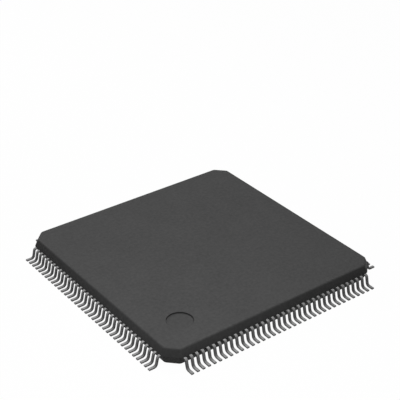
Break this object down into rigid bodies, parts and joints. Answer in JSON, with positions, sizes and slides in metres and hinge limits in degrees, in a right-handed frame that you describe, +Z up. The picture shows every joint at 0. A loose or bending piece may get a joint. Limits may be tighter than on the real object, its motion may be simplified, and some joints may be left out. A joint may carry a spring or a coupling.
{
  "type": "microcontroller chip",
  "caption": "Flat square chip package: a moulded body with chamfered corners, a pin-one dimple and gull-wing leads on every side, soldered to a board.",
  "frame": {"origin": "centre of the package on the seating plane, under the soles of the lead feet", "axes": "+Z up, away from the board, across the thickness of the package; the pin-one dimple is in the corner towards -X and -Y; leads are counted anticlockwise from above, from the left end of the -Y row"},
  "size_m": [0.022, 0.022, 0.0016],
  "materials": {
    "mould_compound": "fine spark-eroded matte epoxy",
    "tin_plate": "satin matte tin plate",
    "copper_frame": "rolled copper alloy sheet",
    "die_adhesive": "silver-filled epoxy",
    "silicon": "polished crystal",
    "gold_wire": "drawn gold"
  },
  "bodies": {
    "root": {"package_body": "mould_compound", "die_pad": "copper_frame", "die_attach": "die_adhesive", "silicon_die": "silicon", "front_leads_1": "tin_plate", "front_leads_2": "tin_plate", "front_leads_3": "tin_plate", "right_leads_1": "tin_plate", "right_leads_2": "tin_plate", "right_leads_3": "tin_plate", "back_leads_1": "tin_plate", "back_leads_2": "tin_plate", "back_leads_3": "tin_plate", "left_leads_1": "tin_plate", "left_leads_2": "tin_plate", "left_leads_3": "tin_plate", "front_wires_1": "gold_wire", "front_wires_2": "gold_wire", "front_wires_3": "gold_wire", "right_wires_1": "gold_wire", "right_wires_2": "gold_wire", "right_wires_3": "gold_wire", "back_wires_1": "gold_wire", "back_wires_2": "gold_wire", "back_wires_3": "gold_wire", "left_wires_1": "gold_wire", "left_wires_2": "gold_wire", "left_wires_3": "gold_wire"}
  },
  "joints": []
}
